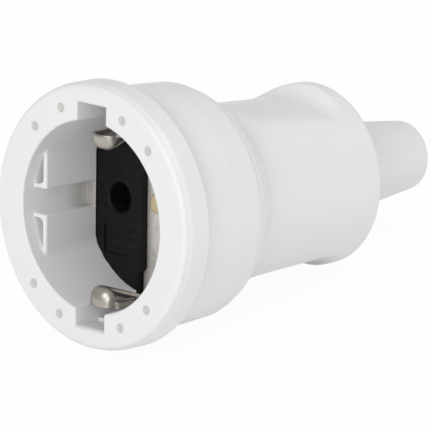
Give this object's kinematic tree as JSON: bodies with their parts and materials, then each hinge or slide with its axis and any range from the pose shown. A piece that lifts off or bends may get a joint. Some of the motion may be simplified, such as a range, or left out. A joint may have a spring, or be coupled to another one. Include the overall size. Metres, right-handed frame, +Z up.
{
  "type": "inline socket connector",
  "caption": "White inline earthed two-pole socket for the end of a mains lead: collared round plug recess with side earth contacts, finger-grip handle and tapered cable sleeve.",
  "frame": {"origin": "centre of the part's box on the surface it lies on, under the connector as it comes to rest on its collar and on the handle's rear rim", "axes": "+X from the socket face back towards the cable sleeve (the connector's own axis dips 8.43 degrees below +X), +Y to the left of someone facing the socket, +Z up"},
  "size_m": [0.095, 0.0548, 0.0548],
  "materials": {
    "white_plastic": "satin moulded, cool white",
    "white_sleeve": "satin moulded, cool white, slightly flexible",
    "black_plastic": "fine matt spark texture",
    "nickel_plate": "warm nickel plate on spring brass",
    "brass": "bare brass",
    "zinc_steel": "bright zinc plate"
  },
  "bodies": {
    "root": {"front_shroud": "white_plastic", "handle": "white_plastic", "cable_sleeve": "white_sleeve", "contact_carrier": "black_plastic", "earth_bracket": "nickel_plate", "earth_rivet": "brass", "earth_terminal": "brass", "earth_terminal_screw": "zinc_steel", "left_contact": "brass", "right_contact": "brass", "left_contact_spring": "zinc_steel", "right_contact_spring": "zinc_steel", "contact_retainer": "black_plastic", "left_terminal": "brass", "right_terminal": "brass", "pole_terminal_screws": "zinc_steel", "cord_clamp_bar": "black_plastic", "cord_clamp_screws": "zinc_steel", "cord_clamp_nuts": "zinc_steel"}
  },
  "joints": []
}
